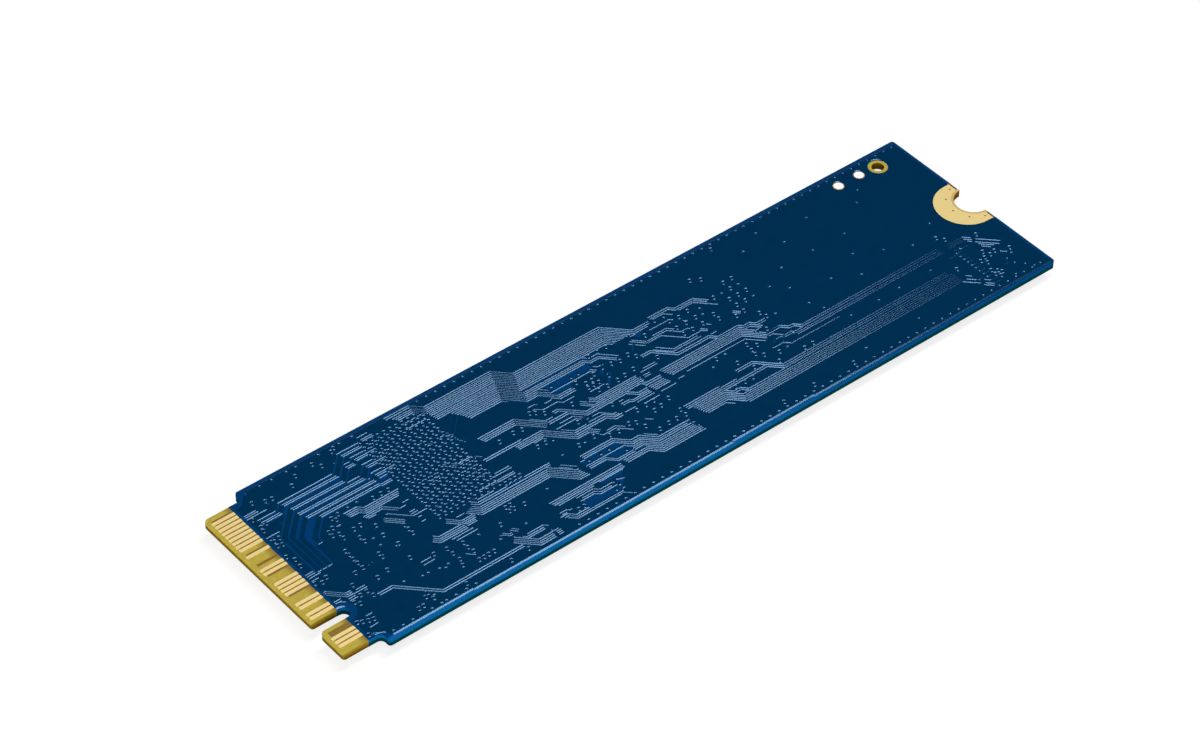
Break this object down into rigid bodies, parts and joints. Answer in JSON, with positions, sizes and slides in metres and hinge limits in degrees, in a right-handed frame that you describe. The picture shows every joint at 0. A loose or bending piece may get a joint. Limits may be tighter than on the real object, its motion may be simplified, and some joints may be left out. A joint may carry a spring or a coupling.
{
  "type": "m2 nvme ssd",
  "caption": "Gumstick solid-state drive board lying bare side up: keyed gold edge connector, blue solder mask over routed traces, half-round screw notch, chips underneath",
  "frame": {"origin": "centre of the bounding box on the plane that the flash packages rest on", "axes": "+X from the connector tongue to the screw notch, +Y to the long edge away from the key slot, +Z out of the bare side"},
  "size_m": [0.08, 0.022, 0.0021],
  "materials": {
    "laminate": "bare glass-epoxy laminate",
    "mask": "blue solder mask over laminate",
    "mask_over_copper": "blue solder mask over copper",
    "gold": "gold plating",
    "tin": "bright tin",
    "mould": "black moulding compound",
    "ferrite": "moulded metal powder",
    "crystal_ceramic": "dark ceramic",
    "lid_metal": "plated lid",
    "capacitor_ceramic": "tan ceramic",
    "resistor_coat": "black coat"
  },
  "bodies": {
    "root": {"laminate": "laminate", "bare_side_mask": "mask", "chip_side_mask": "mask", "masked_ground_plane": "mask_over_copper", "connector_lanes": "mask_over_copper", "flash_buses": "mask_over_copper", "probe_buses": "mask_over_copper", "bare_side_contacts": "gold", "chip_side_contacts": "gold", "bare_side_screw_pad": "gold", "chip_side_screw_pad": "gold", "round_pads": "tin", "controller": "mould", "controller_balls": "tin", "flash_package_1": "mould", "flash_package_1_balls": "tin", "flash_package_2": "mould", "flash_package_2_balls": "tin", "power_manager": "mould", "power_manager_lands": "tin", "load_switch": "mould", "load_switch_lands": "tin", "inductors": "ferrite", "inductor_lands": "tin", "crystal_base": "crystal_ceramic", "crystal_lid": "lid_metal", "coupling_capacitors": "capacitor_ceramic", "coupling_capacitor_ends": "tin", "decoupling_capacitors": "capacitor_ceramic", "decoupling_capacitor_ends": "tin", "bulk_capacitors": "capacitor_ceramic", "bulk_capacitor_ends": "tin", "resistors": "resistor_coat", "resistor_ends": "tin", "probe_lands": "tin"}
  },
  "joints": []
}
